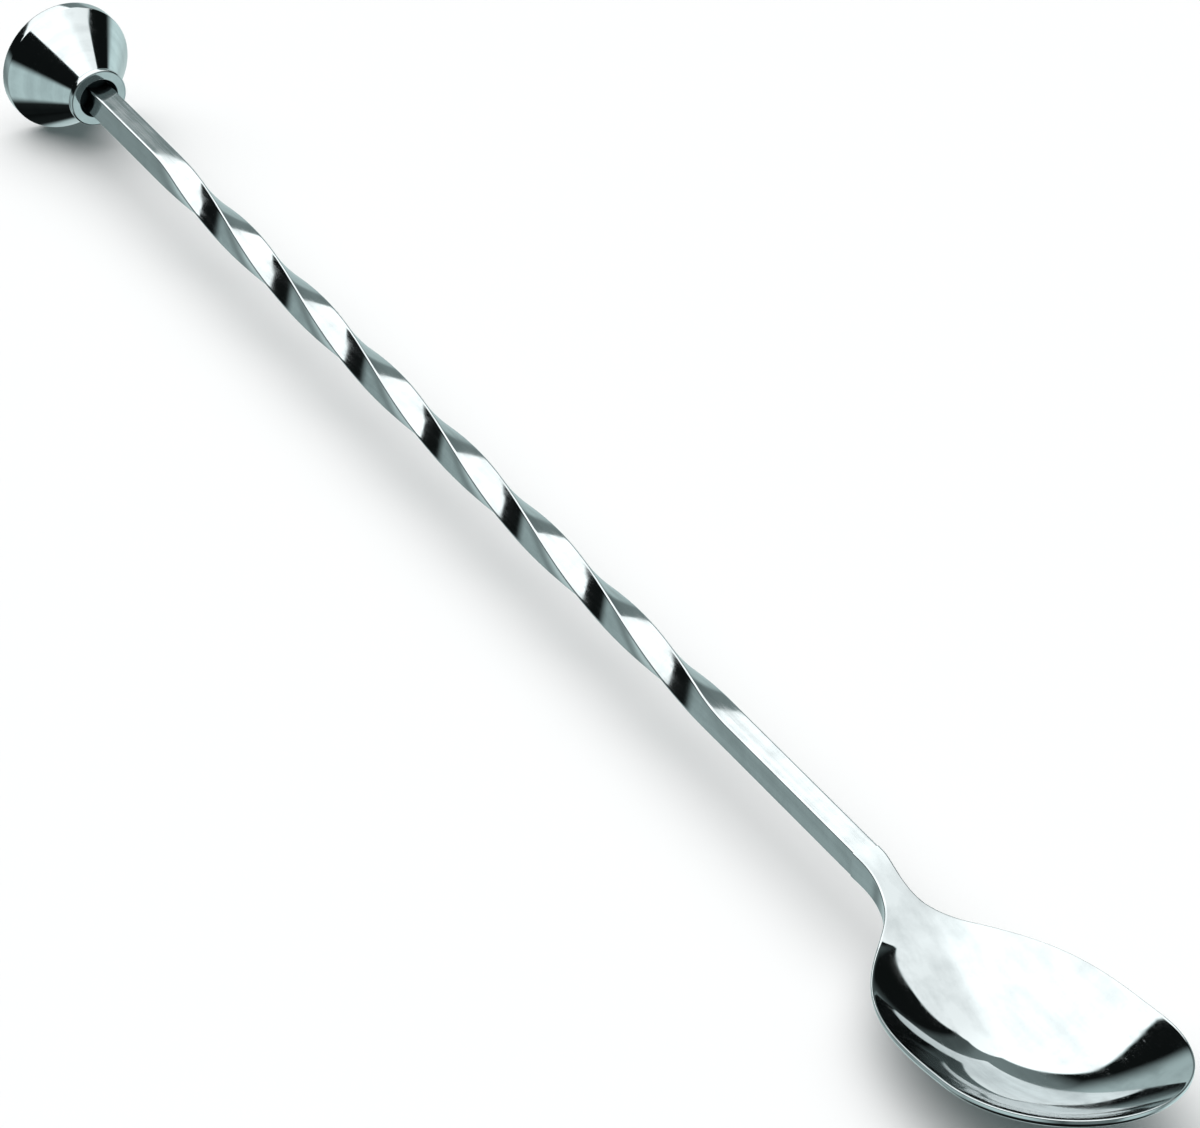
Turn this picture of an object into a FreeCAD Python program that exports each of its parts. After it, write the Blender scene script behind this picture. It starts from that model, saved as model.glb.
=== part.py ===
import FreeCAD, Part
import math
import os

# Bar spoon with a twisted square shaft and a screw-on masher head, lying bowl up.
# Millimetres. X runs along the shaft from the head to the bowl's tip, +Z is up, and the
# origin is under the middle of the spoon, on the surface that it lies on.
# "Station" below means distance along X from the head's flat end.

# whole spoon
overall_length = 282.0

# masher head: a turned cone with a narrow land round its flat end
head_radius = 9.4
head_land = 2.0
head_length = 10.3
head_back_radius = 3.4
head_edge_round = 0.35

# collar: a turned ring, flared towards the bar, whose countersunk socket caps the bar's end
collar_back_radius = 3.7
collar_radius = 4.3
collar_length = 1.9
collar_flare_length = 1.0
collar_edge_round = 0.3
collar_web = 0.6
socket_mouth_radius = 2.95
socket_mouth_depth = 0.9

# screw joint, M3 x 0.5; both threads are plain cylinders at the running clearance
spigot_radius = 1.5
spigot_length = 6.0
spigot_chamfer = 0.3
thread_clearance = 0.05
bore_run_out = 0.7
drill_tip_slope = 31.0
collar_hole_clearance = 0.1
seat_gap = 0.02

# shaft: square bar, straight, then twisted to the right, then straight again
bar_side = 3.5
bar_corner = 0.25
twist_start = 36.0
twist_end = 188.2
quarter_turn_length = 21.65
twist_ease = 8.0
twist_step = 2.0
weld_station = 222.0

# bowl: plan outline, as half widths about the shaft's axis
bowl_half_width = 14.8
widest_station = 263.2
neck_station = 231.2
neck_softness = 0.06
flare_power = 1.72
waist_station = 227.1
waist_reach = 5.0
waist_depth = 0.3

# bowl: heights above the shaft's axis of the rim, and depths below the rim
rim_drop_start = 223.1
rim_drop_end = 235.5
rim_low = -1.88
rim_slope = 0.026
rim_curve = 0.002
dish_start = 230.5
dish_deepest = 253.0
dish_depth = 7.5
dish_power = 2.2
tip_margin = 0.5
sheet_thickness = 1.0
thinning_end = 240.0

# grids that the bowl's faces are drawn through
surface_columns = 64
surface_rows = 17
surface_margin = 1.0
side_points = 50
outline_level = -20.0
blank_height = 40.0
same_length = 1e-4

# values that follow from the sizes above
half_bar = bar_side / 2
axis_height = head_radius
tip_length = overall_length - widest_station
socket_radius = half_bar * math.sqrt(2) - bar_corner * (math.sqrt(2) - 1) + thread_clearance
shoulder_station = head_length + collar_web + 2 * seat_gap


def point(station, y, height):
    """A point at a station, with its height measured from the shaft's axis."""
    return FreeCAD.Vector(station - overall_length / 2, y, axis_height + height)


def ease(t):
    """Smooth step from 0 to 1 as t goes from 0 to 1."""
    t = min(max(t, 0.0), 1.0)
    return t * t * (3 - 2 * t)


def turned(profile):
    """Solid of revolution about the shaft's axis from (station, radius) corners."""
    corners = [point(station, 0, radius) for station, radius in profile]
    face = Part.Face(Part.makePolygon(corners + corners[:1]))
    return face.revolve(point(0, 0, 0), FreeCAD.Vector(1, 0, 0), 360)


def round_rings(solid, radius, rings):
    """Round the circular edges of a turned solid that have the given (station, radius)."""
    picked = []
    for edge in solid.Edges:
        if not isinstance(edge.Curve, Part.Circle):
            continue
        for station, ring_radius in rings:
            here = abs(edge.Curve.Center.x - point(station, 0, 0).x) < same_length
            if here and abs(edge.Curve.Radius - ring_radius) < same_length:
                picked.append(edge)
                break
    return solid.makeFillet(radius, picked)


def masher_head():
    """Cone with a cylindrical land at its flat end and a blind tapped hole in its back."""
    bore_radius = spigot_radius + thread_clearance
    bore_end = shoulder_station - spigot_length - bore_run_out
    body = turned([
        (0, 0),
        (0, head_radius),
        (head_land, head_radius),
        (head_length, head_back_radius),
        (head_length, bore_radius),
        (bore_end, bore_radius),
        (bore_end - bore_radius * math.tan(math.radians(drill_tip_slope)), 0),
    ])
    return round_rings(body, head_edge_round, [(0, head_radius), (head_land, head_radius)])


def collar():
    """Flared ring with a countersunk round socket for the bar and a web that the head clamps."""
    back = head_length + seat_gap
    front = back + collar_length
    hole_radius = spigot_radius + collar_hole_clearance
    body = turned([
        (back, hole_radius),
        (back, collar_back_radius),
        (back + collar_flare_length, collar_radius),
        (front, collar_radius),
        (front, socket_mouth_radius),
        (front - socket_mouth_depth, socket_radius),
        (back + collar_web, socket_radius),
        (back + collar_web, hole_radius),
    ])
    return round_rings(body, collar_edge_round, [(back, collar_back_radius), (front, collar_radius)])


def twist_angle(station):
    """Turn of the square section about the axis, counted from the straight at the bowl."""
    def turned_length(past):
        if past <= 0:
            return 0.0
        if past < twist_ease:
            return past * past / (2 * twist_ease)
        return past - twist_ease / 2

    started = turned_length(station - twist_start + twist_ease / 2)
    ended = turned_length(station - twist_end + twist_ease / 2)
    total = twist_end - twist_start
    return (total - started + ended) * 90 / quarter_turn_length


def square_section(station):
    """Closed wire of the rounded square at a station, turned by the twist there."""
    flat = half_bar - bar_corner
    diagonal = bar_corner * math.sqrt(0.5)
    edges = []
    for side in range(4):
        turn = FreeCAD.Rotation(FreeCAD.Vector(1, 0, 0), 90 * side - twist_angle(station))

        def place(y, z):
            return turn.multVec(FreeCAD.Vector(0, y, z)) + point(station, 0, 0)

        edges.append(Part.LineSegment(place(half_bar, -flat), place(half_bar, flat)).toShape())
        corner = Part.Arc(
            place(half_bar, flat),
            place(flat + diagonal, flat + diagonal),
            place(flat, half_bar),
        )
        edges.append(corner.toShape())
    return Part.Wire(edges)


def straight_bar(start, end):
    """Straight length of the square bar between two stations clear of the twist."""
    return Part.Face(square_section(start)).extrude(FreeCAD.Vector(end - start, 0, 0))


def shaft():
    """Square bar with its twisted middle, and the threaded spigot turned on its head end."""
    first = twist_start - twist_ease / 2
    last = twist_end + twist_ease / 2
    steps = round((last - first) / twist_step)
    stations = [first + (last - first) * i / steps for i in range(steps + 1)]
    twisted = Part.makeLoft([square_section(station) for station in stations], True, False)
    upper = straight_bar(shoulder_station, first)
    lower = straight_bar(last, weld_station)
    spigot = turned([
        (shoulder_station - spigot_length, 0),
        (shoulder_station - spigot_length, spigot_radius - spigot_chamfer),
        (shoulder_station - spigot_length + spigot_chamfer, spigot_radius),
        (shoulder_station + spigot_chamfer, spigot_radius),
        (shoulder_station + spigot_chamfer, 0),
    ])
    return upper.multiFuse([twisted, lower, spigot]).removeSplitter()


def half_width(station):
    """Half width of the plan outline: the bar, a waist, a soft flare, then a half ellipse."""
    if station >= widest_station:
        across = (station - widest_station) / tip_length
        return bowl_half_width * math.sqrt(max(0.0, 1 - across * across))
    along = (station - neck_station) / (widest_station - neck_station)
    soft = (along + math.hypot(along, neck_softness)) / (1 + math.hypot(1, neck_softness))
    flare = math.sin(math.pi / 2 * (1 - (1 - min(soft, 1.0)) ** flare_power))
    from_waist = min(abs(station - waist_station) / waist_reach, 1.0)
    waist = waist_depth * (1 + math.cos(math.pi * from_waist)) / 2
    return half_bar - waist + (bowl_half_width - half_bar) * flare


def rim_height(station):
    """Height of the rim: level with the bar's top face, down at the neck, up to the tip."""
    past = max(0.0, station - rim_drop_end)
    dropped = rim_low + rim_slope * past + rim_curve * past * past
    share = ease((station - rim_drop_start) / (rim_drop_end - rim_drop_start))
    return half_bar + (dropped - half_bar) * share


def dish_depth_at(station):
    """Depth of the middle line below the rim: a sine-squared entry, then a power curve."""
    if station <= dish_start:
        return 0.0
    if station < dish_deepest:
        along = (station - dish_start) / (dish_deepest - dish_start)
        return dish_depth * math.sin(math.pi / 2 * along) ** 2
    along = (station - dish_deepest) / (overall_length - dish_deepest)
    return dish_depth * (1 - along ** dish_power)


def inside_height(station, y):
    """Height of the inside: a parabola across the bowl that meets the rim at its outline."""
    near_tip = min(station, overall_length - tip_margin)
    hollow = dish_depth_at(near_tip) / half_width(near_tip) ** 2
    return rim_height(station) - dish_depth_at(station) + hollow * y * y


def thickness(station):
    """Upright thickness: the full bar at the weld, thinning to the sheet of the bowl."""
    share = ease((station - rim_drop_start) / (thinning_end - rim_drop_start))
    return bar_side + (sheet_thickness - bar_side) * share


def height_surface(height_at):
    """Smooth face through a grid of heights that is a little larger than the bowl."""
    start = weld_station - surface_margin
    end = overall_length + surface_margin
    reach = bowl_half_width + surface_margin
    grid = []
    for i in range(surface_columns + 1):
        station = start + (end - start) * i / surface_columns
        spread = [reach * (2 * j / surface_rows - 1) for j in range(surface_rows + 1)]
        grid.append([point(station, y, height_at(station, y)) for y in spread])
    surface = Part.BSplineSurface()
    surface.interpolate(grid)
    return surface.toShape()


def bowl_outline():
    """Plan of the bowl as a face: the weld's end, two flared sides and the tip's half ellipse."""
    spacing = (widest_station - weld_station) / side_points
    stations = [weld_station + spacing * i for i in range(side_points + 1)]
    far_side = [point(station, half_width(station), outline_level) for station in stations]
    near_side = [point(station, -half_width(station), outline_level) for station in stations]
    along = FreeCAD.Vector(1, 0, 0)
    edges = []
    for side in (near_side, far_side):
        curve = Part.BSplineCurve()
        curve.interpolate(Points=side, InitialTangent=along, FinalTangent=along)
        edges.append(curve.toShape())
    centre = point(widest_station, 0, outline_level)
    ellipse = Part.Ellipse(point(overall_length, 0, outline_level), far_side[-1], centre)
    half = math.pi / 2
    edges.insert(1, Part.ArcOfEllipse(ellipse, -half, half).toShape())
    edges.append(Part.LineSegment(near_side[0], far_side[0]).toShape())
    return Part.Face(Part.Wire(Part.__sortEdges__(edges)))


def bowl():
    """Bowl, neck and tang as one pressing: the layer between two height surfaces, cut to plan."""
    upwards = FreeCAD.Vector(0, 0, blank_height)
    below_inside = height_surface(inside_height).extrude(-upwards)
    above_outside = height_surface(
        lambda station, y: inside_height(station, y) - thickness(station)
    ).extrude(upwards)
    blank = bowl_outline().extrude(upwards)
    return blank.common(below_inside).common(above_outside)


os.makedirs("parts", exist_ok=True)
makers = {"masher_head": masher_head, "collar": collar, "shaft": shaft, "bowl": bowl}
for node, make in makers.items():
    solid = make()
    box = solid.BoundBox
    print(node, solid.ShapeType, len(solid.Solids), solid.isValid(), round(solid.Volume, 2),
          [round(v, 3) for v in (box.XMin, box.XMax, box.YMin, box.YMax, box.ZMin, box.ZMax)])
    if len(solid.Solids) == 1:
        solid = solid.Solids[0]
    solid.exportStep("parts/" + node + ".step")
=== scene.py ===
import bpy
import numpy as np
from mathutils import Matrix, Vector


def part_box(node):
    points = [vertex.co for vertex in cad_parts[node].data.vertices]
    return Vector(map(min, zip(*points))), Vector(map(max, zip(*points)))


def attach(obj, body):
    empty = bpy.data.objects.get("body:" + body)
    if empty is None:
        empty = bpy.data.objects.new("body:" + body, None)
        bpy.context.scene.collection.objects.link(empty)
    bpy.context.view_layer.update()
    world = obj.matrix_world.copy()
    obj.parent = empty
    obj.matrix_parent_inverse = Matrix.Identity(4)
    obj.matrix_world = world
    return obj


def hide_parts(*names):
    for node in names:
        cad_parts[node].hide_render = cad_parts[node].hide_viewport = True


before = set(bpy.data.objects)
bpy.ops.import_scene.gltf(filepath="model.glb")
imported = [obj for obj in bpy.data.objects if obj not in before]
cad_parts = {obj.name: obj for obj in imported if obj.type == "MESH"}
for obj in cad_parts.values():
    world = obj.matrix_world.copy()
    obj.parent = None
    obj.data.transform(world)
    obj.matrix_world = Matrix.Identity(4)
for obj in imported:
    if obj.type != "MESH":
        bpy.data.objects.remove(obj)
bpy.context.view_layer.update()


# The shaft is one bar of drawn square stainless steel. Its middle is twisted to the right by about
# seven quarter turns, the rest is left straight, and its head end is turned down to a spigot with
# a fine screw thread. The bar is mirror polished after twisting, edges and all.
MM = 0.001
join_distance = 1e-4 * MM
sharp_turn = np.radians(38)
head_low, head_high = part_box("masher_head")
shaft_low, shaft_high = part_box("shaft")
axis_height = (head_low.z + head_high.z) / 2
weld_station = (shaft_high.x - head_low.x) / MM
spigot_tip = (shaft_low.x - head_low.x) / MM
spigot_length = 6.0
spigot_radius = 1.5
spigot_chamfer = 0.3
thread_pitch = 0.5
thread_depth = 0.28
thread_rise = 0.4
thread_run_out = 0.6
thread_rows_per_turn = 12
shoulder_station = spigot_tip + spigot_length
bar_side = 3.5
half_bar = bar_side / 2
bar_corner = 0.25
twist_start = 36.0
twist_end = 188.2
quarter_turn_length = 21.65
twist_ease = 8.0
rows_before_twist = 16
rows_in_twist = 400
rows_after_twist = 22


def in_metres(station, y, height):
    """Points from stations along the spoon, counted from the head's flat end, and from distances
    beside and above the shaft's axis, all in millimetres."""
    x = head_low.x + np.asarray(station) * MM
    return np.stack(np.broadcast_arrays(x, np.asarray(y) * MM, axis_height + height * MM), -1)


def skin(name, grid):
    """Closed surface from a grid of points. Points that coincide become one, each cell becomes two
    triangles, and a triangle with two equal corners is dropped, which closes seams and poles. If
    the sum of corner triple products is negative, the surface is inside out and is turned round.
    Edges that turn by more than sharp_turn stay crisp, and all others are shaded smooth."""
    rows, columns = grid.shape[:2]
    points = grid.reshape(-1, 3)
    _, first, joined = np.unique(
        np.round(points / join_distance).astype(np.int64), axis=0, return_index=True, return_inverse=True
    )
    index = joined.reshape(rows, columns)
    a, b, c, d = index[:-1, :-1], index[1:, :-1], index[1:, 1:], index[:-1, 1:]
    faces = np.concatenate([np.stack([a, b, c], -1), np.stack([a, c, d], -1)]).reshape(-1, 3)
    whole = (faces[:, 0] != faces[:, 1]) & (faces[:, 1] != faces[:, 2]) & (faces[:, 2] != faces[:, 0])
    faces = faces[whole]
    corners = points[first][faces]
    volume = np.sum(corners[:, 0] * np.cross(corners[:, 1], corners[:, 2]))
    if volume < 0:
        faces = faces[:, ::-1]
    mesh = bpy.data.meshes.new(name)
    mesh.from_pydata(points[first].tolist(), [], faces.tolist(), shade_flat=False)
    mesh.set_sharp_from_angle(angle=sharp_turn)
    piece = bpy.data.objects.new(name, mesh)
    bpy.context.scene.collection.objects.link(piece)
    return piece


def rounded_square(half, corner, arc_steps=8):
    """Outline of a square with round corners, anticlockwise, as (y, z) columns. Each side has a few
    points that crowd towards its corners, so that it shades flat, then a quarter circle."""
    flat = half - corner
    side_places = np.array([-1, -0.93, -0.6, 0, 0.6, 0.93])
    along = flat * side_places
    angle = np.linspace(0, np.pi / 2, arc_steps, endpoint=False)
    side_y = np.concatenate([np.full(along.size, half), flat + corner * np.cos(angle)])
    side_z = np.concatenate([along, flat + corner * np.sin(angle)])
    turns = [(side_y, side_z), (-side_z, side_y), (-side_y, -side_z), (side_z, -side_y)]
    outline = np.concatenate([np.stack(turn, -1) for turn in turns])
    return np.concatenate([outline, outline[:1]])


def twist_angle(station):
    """Turn of the section in radians: it grows evenly along the twist, and its rate rises and falls
    in a straight line over the easing length at each end."""
    def turned_length(past):
        eased = np.clip(past, 0, twist_ease) ** 2 / (2 * twist_ease)
        return eased + np.maximum(past - twist_ease, 0)

    started = turned_length(station - twist_start + twist_ease / 2)
    ended = turned_length(station - twist_end + twist_ease / 2)
    return (started - ended - (twist_end - twist_start)) * np.pi / 2 / quarter_turn_length


def thread_cut(station, angle):
    """Depth of a right-handed vee thread from 0 to 1: a triangle wave of the distance along the
    axis less the pitch for each turn."""
    along = station / thread_pitch - angle / (2 * np.pi)
    return 1 - 2 * np.abs(along - np.floor(along) - 0.5)


def shaft_surface():
    """Rows run along the bar: spigot end, thread, shoulder, square bar, weld. Columns run round it."""
    outline = rounded_square(half_bar, bar_corner)
    angle = np.arctan2(outline[:, 1], outline[:, 0])
    angle[-1] += 2 * np.pi
    round_columns = np.stack([np.cos(angle), np.sin(angle)], -1)

    row_spacing = thread_pitch / thread_rows_per_turn
    thread_rows = round(spigot_length / row_spacing) + 1
    thread_stations = spigot_tip + row_spacing * np.arange(thread_rows)
    from_tip = thread_stations - spigot_tip
    from_base = shoulder_station - thread_stations
    fade = np.clip(np.minimum(from_tip / thread_rise, from_base / thread_run_out), 0, 1)
    chamfer = np.maximum(spigot_chamfer - from_tip, 0)
    cut = thread_cut(thread_stations[:, None], angle[None, :]) * thread_depth * fade[:, None]
    radius = spigot_radius - chamfer[:, None] - cut
    spigot = in_metres(
        thread_stations[:, None], radius * round_columns[:, 0], radius * round_columns[:, 1]
    )
    spigot_end = in_metres(spigot_tip, 0 * angle, 0 * angle)[None]

    twist_first = twist_start - twist_ease / 2
    twist_last = twist_end + twist_ease / 2
    stations = np.concatenate([
        np.linspace(shoulder_station, twist_first, rows_before_twist, endpoint=False),
        np.linspace(twist_first, twist_last, rows_in_twist, endpoint=False),
        np.linspace(twist_last, weld_station, rows_after_twist),
    ])
    turn = twist_angle(stations)[:, None]
    y = outline[None, :, 0] * np.cos(turn) - outline[None, :, 1] * np.sin(turn)
    z = outline[None, :, 0] * np.sin(turn) + outline[None, :, 1] * np.cos(turn)
    bar = in_metres(stations[:, None], y, z)
    weld_face = in_metres(weld_station, 0 * angle, 0 * angle)[None]
    return np.concatenate([spigot_end, spigot, bar, weld_face])


shaft_skin = skin("twisted_shaft", shaft_surface())
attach(shaft_skin, "spoon")
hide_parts("shaft")


def linear(colour):
    """Linear light from an sRGB hex colour: c / 12.92 in the darkest part, and elsewhere
    ((c + 0.055) / 1.055) to the power 2.4."""
    channels = np.array([int(colour[i:i + 2], 16) for i in (1, 3, 5)]) / 255
    curved = ((channels + 0.055) / 1.055) ** 2.4
    return (*np.where(channels <= 0.04045, channels / 12.92, curved).tolist(), 1.0)


def add(tree, kind, **settings):
    """One shader node. A setting that names an attribute of the node is set on it. Any other sets
    an input, by name or as in_ and its number, or links it if the value is another node's output."""
    node = tree.nodes.new(kind)
    for name, value in settings.items():
        if hasattr(node, name):
            setattr(node, name, value)
            continue
        socket = node.inputs[int(name[3:]) if name[:3] == "in_" else name.replace("_", " ")]
        if isinstance(value, bpy.types.NodeSocket):
            tree.links.new(value, socket)
        else:
            socket.default_value = value
    return node


def polished_steel(name, line_scale, softness, haze, line_bump):
    """Mirror-polished steel. line_scale stretches a noise into polishing lines, in lines per metre
    along each axis; softness is the roughness the lines give; haze is how far the wheel's smudges
    dull the mirror; line_bump is how deep the lines are, in metres."""
    clean_colour = linear("#B9C0C1")
    smudged_colour = linear("#A9B0B1")
    smudges_per_metre = 260.0
    streaks_per_line = 0.12
    smudge_starts = 0.9
    smudge_full = 1.3
    hair_scale = (160.0, 3200.0, 3200.0)
    hair_turn = (0.3, 0.5, 0.9)
    hair_starts = 0.66
    hair_full = 0.74
    hair_roughness = 0.08
    steel = bpy.data.materials.new(name)
    steel.use_nodes = True
    tree = steel.node_tree
    shader = tree.nodes["Principled BSDF"]
    shader.inputs["Metallic"].default_value = 1.0
    place = add(tree, "ShaderNodeTexCoord").outputs["Object"]

    # Real polishing lines are about 0.02 mm apart. They are drawn about ten times coarser, as the
    # finer ones would fall between the picture's samples.
    stretched = add(tree, "ShaderNodeMapping", Vector=place, Scale=line_scale).outputs["Vector"]
    lines = add(tree, "ShaderNodeTexNoise", Vector=stretched, Scale=1.0, Detail=3.0).outputs["Fac"]
    bump = add(tree, "ShaderNodeBump", Height=lines, Strength=1.0, Distance=line_bump)
    tree.links.new(bump.outputs["Normal"], shader.inputs["Normal"])

    # Soft smudges about 4 mm across and streaks 1 to 2 mm wide, both left by the last wheel, grey
    # the mirror a little. Each noise is near 0.5, so their sum is near 1.
    cloud = add(tree, "ShaderNodeTexNoise", Vector=place, Scale=smudges_per_metre, Detail=5.0,
                Roughness=0.6)
    streak = add(tree, "ShaderNodeTexNoise", Vector=stretched, Scale=streaks_per_line, Detail=3.0)
    both = add(tree, "ShaderNodeMath", operation="ADD", in_0=cloud.outputs["Fac"],
               in_1=streak.outputs["Fac"]).outputs["Value"]
    smudge = add(tree, "ShaderNodeMapRange", Value=both, in_1=smudge_starts, in_2=smudge_full,
                 in_3=0.0, in_4=1.0).outputs["Result"]
    tint = add(tree, "ShaderNodeMix", data_type="RGBA", in_0=smudge, in_6=clean_colour,
               in_7=smudged_colour)
    tree.links.new(tint.outputs[2], shader.inputs["Base Color"])

    # Sparse hairline marks from handling lie across the polishing lines.
    turned = add(tree, "ShaderNodeMapping", Vector=place, Rotation=hair_turn, Scale=hair_scale)
    hairs = add(tree, "ShaderNodeTexNoise", Vector=turned.outputs["Vector"], Scale=1.0, Detail=2.0)
    marks = add(tree, "ShaderNodeMapRange", Value=hairs.outputs["Fac"], in_1=hair_starts,
                in_2=hair_full, in_3=0.0, in_4=hair_roughness).outputs["Result"]
    dull = add(tree, "ShaderNodeMath", operation="MULTIPLY_ADD", in_0=smudge, in_1=haze, in_2=marks)
    rough = add(tree, "ShaderNodeMath", operation="MULTIPLY_ADD", in_0=lines, in_1=softness,
                in_2=dull.outputs["Value"])
    tree.links.new(rough.outputs["Value"], shader.inputs["Roughness"])
    return steel


bar_steel = polished_steel(
    "mirror-polished steel, lines along the bar",
    line_scale=(120.0, 6000.0, 6000.0), softness=0.2, haze=0.1, line_bump=0.5e-6,
)
shaft_skin.data.materials.append(bar_steel)


# The bowl, its neck and a short square tang are one pressing of stainless steel. The tang is butt
# welded to the bar and ground flush, the sheet thins through the neck, and the rim is rounded and
# mirror polished like the inside.
_, bowl_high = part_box("bowl")
overall_length = (bowl_high.x - head_low.x) / MM
bowl_half_width = 14.8
widest_station = 263.2
tip_length = overall_length - widest_station
neck_station = 231.2
neck_softness = 0.06
flare_power = 1.72
waist_station = 227.1
waist_reach = 5.0
waist_depth = 0.3
rim_drop_start = 223.1
rim_drop_end = 235.5
rim_low = -1.88
rim_slope = 0.026
rim_curve = 0.002
dish_start = 230.5
dish_deepest = 253.0
dish_depth = 7.5
dish_power = 2.2
tip_margin = 0.5
sheet_thickness = 1.0
thinning_end = 240.0
rim_round_above = 0.35
rim_round_below = 0.45
rows_to_widest = 130
rows_round_tip = 90
rim_columns = 8
inside_columns = 72
wall_places = np.array([0.07, 0.5, 0.93])


def smooth_step(t):
    """Cubic step from 0 to 1 with level ends."""
    t = np.clip(t, 0, 1)
    return t * t * (3 - 2 * t)


def half_width(station):
    """Half width of the plan before its widest place: the bar, less one wave of a cosine for the
    waist, plus a sine of a softened ramp."""
    along = (station - neck_station) / (widest_station - neck_station)
    soft = (along + np.hypot(along, neck_softness)) / (1 + np.hypot(1, neck_softness))
    flare = np.sin(np.pi / 2 * (1 - (1 - np.clip(soft, 0, 1)) ** flare_power))
    from_waist = np.clip(np.abs(station - waist_station) / waist_reach, 0, 1)
    waist = waist_depth * (1 + np.cos(np.pi * from_waist)) / 2
    return half_bar - waist + (bowl_half_width - half_bar) * flare


def rim_height(station):
    """Height of the rim: the bar's top face, a smooth drop through the neck, a parabola to the tip."""
    past = np.maximum(station - rim_drop_end, 0)
    dropped = rim_low + rim_slope * past + rim_curve * past**2
    share = smooth_step((station - rim_drop_start) / (rim_drop_end - rim_drop_start))
    return half_bar + (dropped - half_bar) * share


def middle_depth(station):
    """Depth of the middle line below the rim: a sine squared in from the neck, a power curve out."""
    entry = np.clip((station - dish_start) / (dish_deepest - dish_start), 0, 1)
    leaving = np.clip((station - dish_deepest) / (overall_length - dish_deepest), 0, 1)
    return dish_depth * np.sin(np.pi / 2 * entry) ** 2 * (1 - leaving**dish_power)


def inside_height(station, y):
    """Height of the inside: across the bowl it is a parabola that meets the rim at the outline."""
    near_tip = np.minimum(station, overall_length - tip_margin)
    from_widest = np.clip((near_tip - widest_station) / tip_length, 0, 1)
    width = half_width(near_tip) * np.sqrt(1 - from_widest**2)
    return rim_height(station) - middle_depth(station) + middle_depth(near_tip) / width**2 * y**2


def outside_height(station, y):
    """Height of the underside: the inside less an upright thickness that thins through the neck."""
    share = smooth_step((station - rim_drop_start) / (thinning_end - rim_drop_start))
    return inside_height(station, y) - bar_side - (sheet_thickness - bar_side) * share


def bowl_surface():
    """Rows run from the weld to the tip, and columns once round the section: across the inside,
    round the far rim, back across the underside, round the near rim. Each rim is the outline
    carried inwards along its own normal, with a quarter circle above and one below. The straight
    wall between the two quarter circles has points close to its ends, so that it shades flat."""
    before = np.linspace(weld_station, widest_station, rows_to_widest, endpoint=False)
    sweep = np.linspace(0, np.pi / 2, rows_round_tip)
    outline_x = np.concatenate([before, widest_station + tip_length * np.sin(sweep)])
    outline_y = np.concatenate([half_width(before), bowl_half_width * np.cos(sweep)])
    normal = np.stack([-np.gradient(outline_y), np.gradient(outline_x)], -1)
    normal[0] = (0, 1)
    normal[-1] = (1, 0)
    normal /= np.linalg.norm(normal, axis=1, keepdims=True)

    to_rim = smooth_step((outline_x - rim_drop_start) / (rim_drop_end - rim_drop_start))[:, None]
    rim_angle = np.linspace(0, np.pi / 2, rim_columns)[None, :]
    across = np.linspace(-1, 1, inside_columns)[None, 1:-1]
    parts = []
    for rim_round, height_at, up in (
        (rim_round_above, inside_height, 1),
        (rim_round_below, outside_height, -1),
    ):
        radius = bar_corner + (rim_round - bar_corner) * to_rim
        inset = radius * (1 - np.sin(rim_angle))
        drop = radius * (1 - np.cos(rim_angle))
        x = outline_x[:, None] - inset * normal[:, :1]
        y = outline_y[:, None] - inset * normal[:, 1:]
        edge = height_at(x, y) - up * drop
        middle_x = x[:, :1] + 0 * across
        middle_y = y[:, :1] * across
        middle = in_metres(middle_x, middle_y, height_at(middle_x, middle_y))
        near = in_metres(x, -y, edge)
        far = in_metres(x, y, edge)
        parts.append((near, middle, far))
    (near_top, inside, far_top), (near_bottom, outside, far_bottom) = parts
    share = wall_places[None, :, None]
    far_wall = far_top[:, -1:] + (far_bottom[:, -1:] - far_top[:, -1:]) * share
    near_wall = near_bottom[:, -1:] + (near_top[:, -1:] - near_bottom[:, -1:]) * share
    over = [near_top[:, ::-1], inside, far_top, far_wall]
    under = [far_bottom[:, ::-1], outside[:, ::-1], near_bottom, near_wall]
    grid = np.concatenate([*over, *under, near_top[:, -1:]], axis=1)
    weld_face = in_metres(weld_station, 0 * grid[:1, :, 0], 0)
    return np.concatenate([weld_face, grid])


bowl_skin = skin("bowl_and_neck", bowl_surface())
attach(bowl_skin, "spoon")
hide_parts("bowl")

bowl_steel = polished_steel(
    "mirror-polished steel, lines along the bowl",
    line_scale=(300.0, 4000.0, 4000.0), softness=0.05, haze=0.08, line_bump=0.3e-6,
)
bowl_skin.data.materials.append(bowl_steel)


# The collar is a small ring turned from stainless bar, flared towards the shaft. Its countersunk
# socket caps the square end of the shaft, its web is clamped by the head, and its edges are rounded.
collar_low, collar_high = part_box("collar")
collar_back = (collar_low.x - head_low.x) / MM
collar_front = (collar_high.x - head_low.x) / MM
collar_radius = (collar_high.z - axis_height) / MM
collar_back_radius = 3.7
collar_flare_length = 1.0
collar_web = 0.6
socket_mouth_radius = 2.95
socket_mouth_depth = 0.9
collar_hole_clearance = 0.1
collar_hole = spigot_radius + collar_hole_clearance
thread_clearance = 0.05
socket_radius = half_bar * np.sqrt(2) - bar_corner * (np.sqrt(2) - 1) + thread_clearance
hole_round = 0.1
collar_edge_round = 0.3
flare_round = 0.25
mouth_round = 0.12


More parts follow.
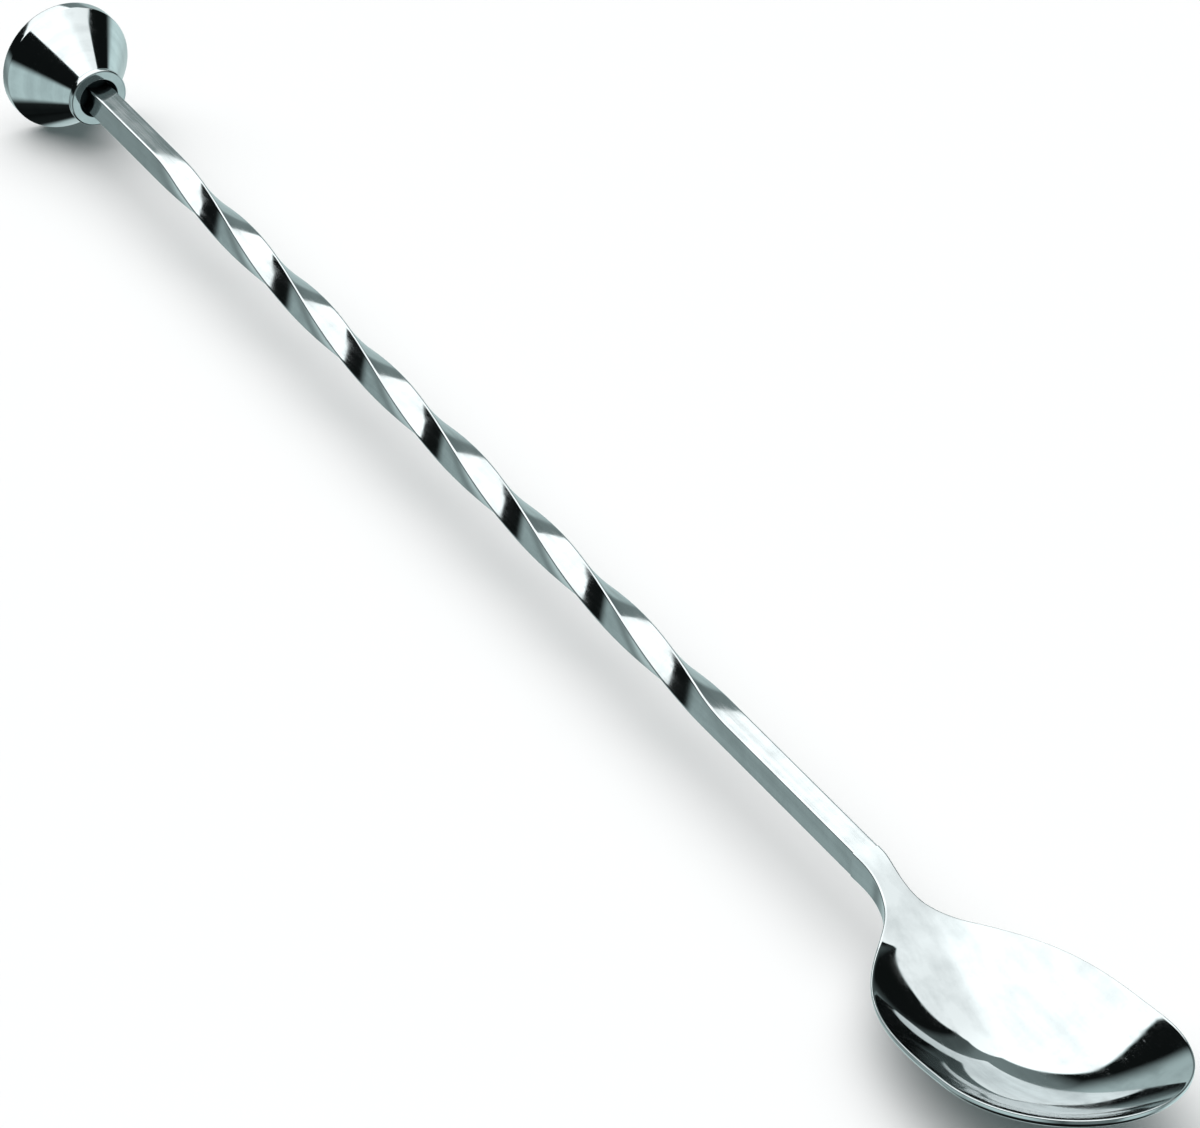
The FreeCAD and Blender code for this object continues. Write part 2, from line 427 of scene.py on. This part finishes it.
def rounded_profile(corners, arc_steps=8):
    """Line through (station, radius, round) corners, with a circular arc of that rounding radius
    in each corner: its centre lies on the bisector, and it is swept from leg to leg."""
    spots = np.array([corner[:2] for corner in corners], float)
    line = [spots[0]]
    for before, here, after, (_, _, rounding) in zip(spots, spots[1:], spots[2:], corners[1:-1]):
        if not rounding:
            line.append(here)
            continue
        back = (before - here) / np.linalg.norm(before - here)
        ahead = (after - here) / np.linalg.norm(after - here)
        half_angle = np.arccos(np.clip(back @ ahead, -1, 1)) / 2
        bisector = (back + ahead) / np.linalg.norm(back + ahead)
        centre = here + bisector * rounding / np.sin(half_angle)
        start = here + back * rounding / np.tan(half_angle) - centre
        end = here + ahead * rounding / np.tan(half_angle) - centre
        sweep = np.pi - 2 * half_angle
        t = np.linspace(0, 1, arc_steps)[:, None]
        line.extend(centre + (np.sin((1 - t) * sweep) * start + np.sin(t * sweep) * end) / np.sin(sweep))
    line.append(spots[-1])
    return np.array(line)


def turned_surface(profile, columns=192, cut=0):
    """Grid of a profile turned about the shaft's axis. cut adds a thread's depth to the radius."""
    angle = np.linspace(0, 2 * np.pi, columns + 1)
    angle[-1] = 0
    station = profile[:, :1]
    radius = profile[:, 1:2] + cut * thread_cut(station, angle[None, :])
    return in_metres(station, radius * np.cos(angle), radius * np.sin(angle))


collar_line = rounded_profile([
    (collar_back + collar_web, collar_hole, 0),
    (collar_back, collar_hole, hole_round),
    (collar_back, collar_back_radius, collar_edge_round),
    (collar_back + collar_flare_length, collar_radius, flare_round),
    (collar_front, collar_radius, collar_edge_round),
    (collar_front, socket_mouth_radius, mouth_round),
    (collar_front - socket_mouth_depth, socket_radius, 0),
    (collar_back + collar_web, socket_radius, 0),
    (collar_back + collar_web, collar_hole, 0),
])
collar_skin = skin("collar_ring", turned_surface(collar_line))
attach(collar_skin, "collar")
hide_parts("collar")

collar_steel = polished_steel(
    "turned and polished steel, fine rings on the collar",
    line_scale=(7000.0, 90.0, 90.0), softness=0.1, haze=0.06, line_bump=0.3e-6,
)
collar_skin.data.materials.append(collar_steel)

# The socket is left rough, as it was turned, and its colour is painted dark as shade in the recess, with
# a noise that varies the painted shade.
# Every face nearer to the axis than the socket's mouth gets this finish.
painted_shade_colour = linear("#191D1E")
paler_painted_shade_colour = linear("#4A5254")
shade_patches_per_metre = 900.0
socket_smoothest = 0.3
socket_roughest = 0.55
socket_painted_shade = bpy.data.materials.new("dull steel in the socket, painted dark as shade")
socket_painted_shade.use_nodes = True
socket_tree = socket_painted_shade.node_tree
socket_shader = socket_tree.nodes["Principled BSDF"]
socket_shader.inputs["Metallic"].default_value = 1.0
socket_place = add(socket_tree, "ShaderNodeTexCoord").outputs["Object"]
shade_noise = add(socket_tree, "ShaderNodeTexNoise", Vector=socket_place, Scale=shade_patches_per_metre,
           Detail=4.0)
# The noise mixes two dark colours of painted shade.
painted_shade_tint = add(socket_tree, "ShaderNodeMix", data_type="RGBA", in_0=shade_noise.outputs["Fac"],
                in_6=painted_shade_colour, in_7=paler_painted_shade_colour)
socket_tree.links.new(painted_shade_tint.outputs[2], socket_shader.inputs["Base Color"])
socket_rough = add(socket_tree, "ShaderNodeMapRange", Value=shade_noise.outputs["Fac"],
                   in_3=socket_smoothest, in_4=socket_roughest)
socket_tree.links.new(socket_rough.outputs["Result"], socket_shader.inputs["Roughness"])
collar_skin.data.materials.append(socket_painted_shade)
# Faces inside the socket's mouth get the painted shade material.
for face in collar_skin.data.polygons:
    reach = np.hypot(face.center.y, face.center.z - axis_height)
    face.material_index = int(reach < socket_mouth_radius * MM)


# The masher head is a cone turned from stainless bar, with a narrow land round its flat end, used
# for pressing sugar and fruit. A blind hole in its back is drilled and tapped for the spigot.
head_radius = (head_high.z - head_low.z) / 2 / MM
head_length = (head_high.x - head_low.x) / MM
head_land = 2.0
head_back_radius = 3.4
bore_radius = spigot_radius + thread_clearance
bore_chamfer = 0.3
bore_thread_depth = 0.2
bore_run_out = 0.7
bore_end = spigot_tip - bore_run_out
drill_tip_slope = np.radians(31)
bore_tip = bore_end - bore_radius * np.tan(drill_tip_slope)
flat_edge_round = 0.4
land_round = 0.35
back_edge_round = 0.15

head_outside = rounded_profile([
    (0, 0, 0),
    (0, head_radius, flat_edge_round),
    (head_land, head_radius, land_round),
    (head_length, head_back_radius, back_edge_round),
    (head_length, bore_radius + bore_chamfer, 0),
    (head_length - bore_chamfer, bore_radius, 0),
])
bore_step = -thread_pitch / thread_rows_per_turn
bore_stations = np.arange(head_length - bore_chamfer, bore_end + thread_pitch, bore_step)
bore_line = np.stack([bore_stations, np.full(bore_stations.size, bore_radius)], -1)
bore_bottom = np.array([(bore_end, bore_radius), (bore_tip, 0)])
head_grid = np.concatenate([
    turned_surface(head_outside[:-1]),
    turned_surface(bore_line, cut=bore_thread_depth),
    turned_surface(bore_bottom),
])
head_skin = skin("masher_cone", head_grid)
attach(head_skin, "masher_head")
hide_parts("masher_head")

head_steel = polished_steel(
    "turned and polished steel, fine rings on the head",
    line_scale=(7000.0, 60.0, 60.0), softness=0.1, haze=0.06, line_bump=0.3e-6,
)
head_skin.data.materials.append(head_steel)


# The studio is a plain pale floor under one wide white light tent. The tent's lower edge goes up
# and down round the spoon, and the dim room shows below it. A haze of light hangs near the horizon
# and fades out beneath the spoon. Each list holds (azimuth in degrees, value) stops.
floor_half = 2.0
floor_colour = linear("#E8E8E8")
tent_softness = 0.8
tent_edge = (
    (0, 46), (30, 48), (60, 55), (150, 55), (176, 44), (181, 38), (186, 33), (193, 34), (204, 42),
    (214, 42), (222, 38), (230, 34), (238, 29), (244, 27), (250, 25), (258, 22.5), (262, 22),
    (270, 23.5), (280, 25.5), (290, 26), (296, 25), (302, 22), (320, 23), (340, 32),
)
tent_light = (
    (0, 2.1), (90, 2.3), (125, 2.1), (150, 1.75), (178, 1.6), (198, 1.65), (250, 2.2), (330, 2.2),
)
tent_top_light = 2.2
tent_top_start = 64.0
tent_top_full = 82.0
room_colour = linear("#E6FBFB")
room_light = (
    (0, 0.01), (30, 0.01), (50, 0.3), (150, 0.3), (170, 0.01), (204, 0.01), (208, 0.13), (216, 0.15),
    (224, 0.3), (236, 0.36), (248, 0.3), (255, 0.01), (330, 0.01),
)
haze_light = (
    (0, 1.0), (15, 1.0), (30, 0.5), (45, 0.1), (90, 0.1), (105, 1.0), (130, 1.0), (150, 0.4),
    (180, 1.2), (200, 1.2), (215, 0.8), (235, 0.7), (270, 0.75), (292, 0.38), (297, 0.4), (305, 0.62),
    (325, 0.62), (345, 1.0),
)
haze_top = (
    (0, 4), (30, 4), (60, 8), (180, 16), (196, 14), (205, 6), (214, 6), (224, 16), (256, 19),
    (266, 17), (276, 11), (288, 0), (325, 0), (340, 4),
)
haze_fall = 13.0
beneath_starts = -48.0
beneath_full = -60.0
beneath_light = 0.02
camera_aim = (0.0156, 0.0004, 0.0136)
camera_azimuth = np.radians(59.24)
camera_elevation = np.radians(31.98)
camera_roll = np.radians(3.0)
camera_distance = 0.826
lens_mm = 198
sensor_mm = 36
near_clip = 0.05

floor_mesh = bpy.data.meshes.new("floor")
floor_corners = [
    (-floor_half, -floor_half, 0), (floor_half, -floor_half, 0),
    (floor_half, floor_half, 0), (-floor_half, floor_half, 0),
]
floor_mesh.from_pydata(floor_corners, [], [(0, 1, 2, 3)])
floor = bpy.data.objects.new("floor", floor_mesh)
bpy.context.scene.collection.objects.link(floor)

# Mirror rays pass the floor, so the steel's undersides show the room's grey and not a white board.
floor.visible_glossy = False
matt_board = bpy.data.materials.new("matt pale board")
matt_board.use_nodes = True
board = matt_board.node_tree.nodes["Principled BSDF"]
board.inputs["Base Color"].default_value = floor_colour
board.inputs["Roughness"].default_value = 1.0
board.inputs["Specular IOR Level"].default_value = 0.0
floor_mesh.materials.append(matt_board)

studio = bpy.data.worlds.new("light tent")
studio.use_nodes = True
sky = studio.node_tree
direction = add(sky, "ShaderNodeTexCoord").outputs["Generated"]
along = add(sky, "ShaderNodeSeparateXYZ", Vector=direction)
across = add(sky, "ShaderNodeMath", operation="MULTIPLY", in_0=along.outputs["Y"], in_1=-1.0)
heading = add(sky, "ShaderNodeMath", operation="ARCTAN2", in_0=along.outputs["X"],
              in_1=across.outputs["Value"]).outputs["Value"]
share = add(sky, "ShaderNodeMath", operation="MULTIPLY", in_0=heading, in_1=1 / (2 * np.pi))
turns = add(sky, "ShaderNodeMath", operation="FRACT", in_0=share.outputs["Value"]).outputs["Value"]
rise = add(sky, "ShaderNodeMath", operation="ARCSINE", in_0=along.outputs["Z"]).outputs["Value"]
height = add(sky, "ShaderNodeMath", operation="DEGREES", in_0=rise).outputs["Value"]


def round_the_room(stops):
    """Value that follows (azimuth in degrees, value) stops round the horizon in straight lines, and
    meets its own start after a full turn."""
    largest = max(value for _, value in stops)
    ramp = add(sky, "ShaderNodeValToRGB", Fac=turns)
    closed = [*stops, (360, stops[0][1])]
    elements = ramp.color_ramp.elements
    for azimuth, value in closed[1:-1]:
        elements.new(azimuth / 360).color = (value / largest,) * 3 + (1,)
    elements[0].color = elements[-1].color = (closed[0][1] / largest,) * 3 + (1,)
    scaled = add(sky, "ShaderNodeMath", operation="MULTIPLY", in_0=ramp.outputs["Color"], in_1=largest)
    return scaled.outputs["Value"]


edge = round_the_room(tent_edge)
above = add(sky, "ShaderNodeMath", operation="SUBTRACT", in_0=height, in_1=edge).outputs["Value"]
inside_tent = add(sky, "ShaderNodeMapRange", interpolation_type="SMOOTHSTEP", Value=above,
                  in_1=-tent_softness, in_2=tent_softness).outputs["Result"]
haze_start = round_the_room(haze_top)
haze_end = add(sky, "ShaderNodeMath", operation="SUBTRACT", in_0=haze_start, in_1=haze_fall)
haze = add(sky, "ShaderNodeMapRange", interpolation_type="SMOOTHSTEP", Value=height, in_1=haze_start,
           in_2=haze_end.outputs["Value"], in_3=0.0, in_4=round_the_room(haze_light))
beneath = add(sky, "ShaderNodeMapRange", interpolation_type="SMOOTHSTEP", Value=height,
              in_1=beneath_full, in_2=beneath_starts, in_3=beneath_light,
              in_4=1.0).outputs["Result"]
low_haze = add(sky, "ShaderNodeMath", operation="MULTIPLY", in_0=haze.outputs["Result"],
               in_1=beneath).outputs["Value"]
above_floor = add(sky, "ShaderNodeMath", operation="MULTIPLY",
                  in_0=round_the_room(room_light), in_1=beneath).outputs["Value"]
walls = add(sky, "ShaderNodeMath", operation="MAXIMUM", in_0=above_floor,
            in_1=low_haze).outputs["Value"]
near_top = add(sky, "ShaderNodeMapRange", interpolation_type="SMOOTHSTEP", Value=height,
               in_1=tent_top_start, in_2=tent_top_full).outputs["Result"]
cloth = add(sky, "ShaderNodeMix", in_0=near_top, in_2=round_the_room(tent_light),
            in_3=tent_top_light).outputs[0]
light = add(sky, "ShaderNodeMix", in_0=inside_tent, in_2=walls, in_3=cloth).outputs[0]
sky.links.new(light, sky.nodes["Background"].inputs["Strength"])
hue = add(sky, "ShaderNodeMix", data_type="RGBA", in_0=inside_tent, in_6=room_colour,
          in_7=(1.0, 1.0, 1.0, 1.0))
sky.links.new(hue.outputs[2], sky.nodes["Background"].inputs["Color"])
bpy.context.scene.world = studio
bpy.context.scene.view_settings.view_transform = "Standard"

towards = Vector((
    np.sin(camera_azimuth) * np.cos(camera_elevation),
    -np.cos(camera_azimuth) * np.cos(camera_elevation),
    np.sin(camera_elevation),
))
lens = bpy.data.cameras.new("camera")
lens.lens = lens_mm
lens.sensor_width = sensor_mm
lens.clip_start = near_clip
camera = bpy.data.objects.new("camera", lens)
bpy.context.scene.collection.objects.link(camera)
upright = towards.to_track_quat("Z", "Y").to_matrix()
pose = (upright @ Matrix.Rotation(camera_roll, 3, "Z")).to_4x4()
pose.translation = Vector(camera_aim) + towards * camera_distance
camera.matrix_world = pose
bpy.context.scene.camera = camera
